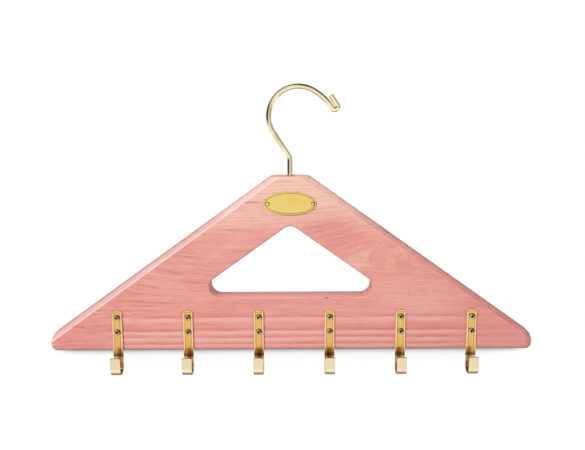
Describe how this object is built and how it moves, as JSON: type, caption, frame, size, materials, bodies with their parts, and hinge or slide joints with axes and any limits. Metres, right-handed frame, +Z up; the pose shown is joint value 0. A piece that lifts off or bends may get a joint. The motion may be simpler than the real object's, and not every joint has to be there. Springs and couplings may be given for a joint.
{
  "type": "belt hanger",
  "caption": "Cedar board hanger with a window, a swivelling brass wire hook for a closet rod and a row of flat brass J-hooks along the lower edge for belts.",
  "frame": {"origin": "point under the crown of the wire hook, on its inner side, where the closet rod bears", "axes": "+Z up, +Y from the board's front face to its back face, +X towards the side where the wire hook opens"},
  "size_m": [0.387, 0.0333, 0.2292],
  "materials": {
    "cedar": "sanded bare aromatic cedar",
    "plated_wire": "polished brass plate",
    "strip_brass": "brushed brass plate",
    "plate_brass": "satin stamped brass",
    "screw_brass": "bright brass plate"
  },
  "bodies": {
    "hook": {"wire_hook": "plated_wire"},
    "hanger": {"board": "cedar", "shank_bush": "screw_brass", "shank_washer": "screw_brass", "name_plate": "plate_brass", "plate_pin_left": "screw_brass", "plate_pin_right": "screw_brass", "belt_hook_1": "strip_brass", "belt_hook_2": "strip_brass", "belt_hook_3": "strip_brass", "belt_hook_4": "strip_brass", "belt_hook_5": "strip_brass", "belt_hook_6": "strip_brass", "hook_1_screw_upper": "screw_brass", "hook_1_screw_lower": "screw_brass", "hook_2_screw_upper": "screw_brass", "hook_2_screw_lower": "screw_brass", "hook_3_screw_upper": "screw_brass", "hook_3_screw_lower": "screw_brass", "hook_4_screw_upper": "screw_brass", "hook_4_screw_lower": "screw_brass", "hook_5_screw_upper": "screw_brass", "hook_5_screw_lower": "screw_brass", "hook_6_screw_upper": "screw_brass", "hook_6_screw_lower": "screw_brass"}
  },
  "joints": [
    {"name": "hook_swivel", "type": "hinge", "parent": "hook", "child": "hanger", "pos_m": [-0.0069, 0, -0.0674], "axis": [0, 0, 1], "continuous": true}
  ]
}
